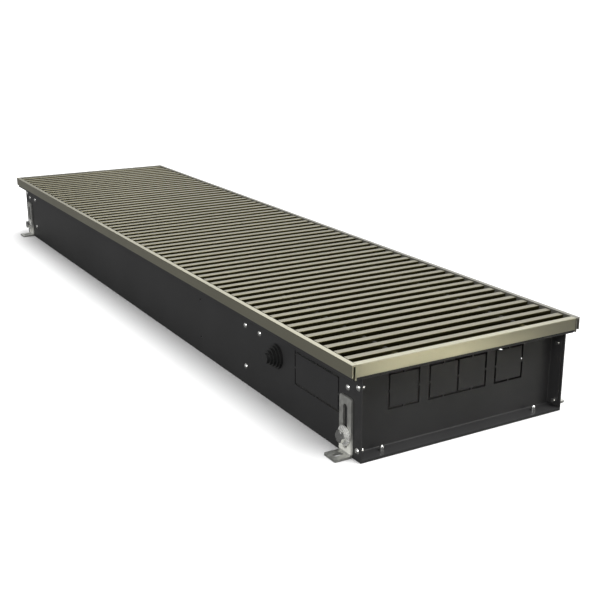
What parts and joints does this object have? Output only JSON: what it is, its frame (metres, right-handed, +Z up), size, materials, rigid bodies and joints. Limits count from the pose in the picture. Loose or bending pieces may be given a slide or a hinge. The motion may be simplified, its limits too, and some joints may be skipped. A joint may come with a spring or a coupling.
{
  "type": "trench convector heater",
  "caption": "Floor-sunk convector heater: black sheet trough with adjustable feet, bronze frame, roll-up slat grille, finned copper exchanger and crossflow fan.",
  "frame": {"origin": "centre of the footprint, on the plane that the trough stands on", "axes": "+X along the trench towards the pipe end, +Y across it away from the cable grommet, +Z up"},
  "size_m": [1, 0.2624, 0.0915],
  "materials": {
    "frame_bronze": "bronze anodised, brushed lengthwise",
    "slat_bronze": "light bronze anodised",
    "black_powder": "black powder coat, satin",
    "galvanised": "hot-dip galvanised sheet",
    "zinc_fastener": "bright zinc plated",
    "spring_steel": "bare spring steel",
    "rubber_black": "matt black rubber",
    "copper": "bare copper tube",
    "brass": "machined brass",
    "fin_aluminium": "mill finish fin stock",
    "fan_black": "moulded fan drum",
    "motor_grey": "painted motor housing",
    "box_grey": "moulded terminal box",
    "terminal_white": "moulded terminal block"
  },
  "bodies": {
    "trough": {"front_wall": "black_powder", "rear_wall": "black_powder", "floor_pan": "black_powder", "end_plate_near": "black_powder", "end_plate_far": "black_powder", "corner_rivets": "zinc_fastener", "foot_stop_rivets": "zinc_fastener", "floor_rivets": "zinc_fastener", "frame_front": "frame_bronze", "frame_rear": "frame_bronze", "frame_near_end": "frame_bronze", "frame_far_end": "frame_bronze", "grille_rest_strips": "rubber_black", "clamp_washers": "zinc_fastener", "clamp_spring_washers": "zinc_fastener", "clamp_bolts": "zinc_fastener", "weld_nuts": "zinc_fastener", "support_bracket_far": "galvanised", "support_bracket_near": "galvanised", "wall_screws": "zinc_fastener", "exchanger_fins": "fin_aluminium", "exchanger_tubes": "copper", "exchanger_return_bends": "copper", "exchanger_crossover_block": "brass", "pipe_unions": "brass", "fan_bushes": "brass", "fan_rubber_rings": "rubber_black", "fan_motor": "motor_grey", "motor_cradle": "galvanised", "fan_scroll_far": "galvanised", "fan_scroll_near": "galvanised", "fan_tongue": "galvanised", "cable_grommet": "rubber_black", "terminal_box_base": "box_grey", "terminal_box_lid": "box_grey", "terminal_box_screws": "zinc_fastener", "terminal_block": "terminal_white", "terminal_screws": "brass"},
    "grille": {"grille_slats": "slat_bronze", "grille_spacers": "rubber_black", "grille_link_springs": "spring_steel", "grille_end_ferrules": "zinc_fastener"},
    "foot_near_front_body": {"foot_near_front": "galvanised"},
    "foot_far_front_body": {"foot_far_front": "galvanised"},
    "foot_near_rear_body": {"foot_near_rear": "galvanised"},
    "foot_far_rear_body": {"foot_far_rear": "galvanised"},
    "fan_rotor": {"fan_impeller_far": "fan_black", "fan_impeller_near": "fan_black", "fan_shaft": "spring_steel"},
    "bleed_valve": {"bleed_screw": "brass"}
  },
  "joints": [
    {"name": "grille_lift", "type": "slide", "parent": "trough", "child": "grille", "axis": [0, 0, 1], "range_m": [0, 0.06]},
    {"name": "foot_near_front_slide", "type": "slide", "parent": "trough", "child": "foot_near_front_body", "axis": [0, 0, -1], "range_m": [-0.0045, 0.0255]},
    {"name": "foot_near_rear_slide", "type": "slide", "parent": "trough", "child": "foot_near_rear_body", "axis": [0, 0, -1], "range_m": [-0.0045, 0.0255]},
    {"name": "foot_far_front_slide", "type": "slide", "parent": "trough", "child": "foot_far_front_body", "axis": [0, 0, -1], "range_m": [-0.0045, 0.0255]},
    {"name": "foot_far_rear_slide", "type": "slide", "parent": "trough", "child": "foot_far_rear_body", "axis": [0, 0, -1], "range_m": [-0.0045, 0.0255]},
    {"name": "fan_spin", "type": "hinge", "parent": "trough", "child": "fan_rotor", "pos_m": [0, -0.068, 0.037], "axis": [1, 0, 0], "continuous": true},
    {"name": "bleed_screw_turn", "type": "hinge", "parent": "trough", "child": "bleed_valve", "pos_m": [0.311, 0.045, 0.06], "axis": [0, 0, 1], "range_deg": [0, 360]}
  ]
}
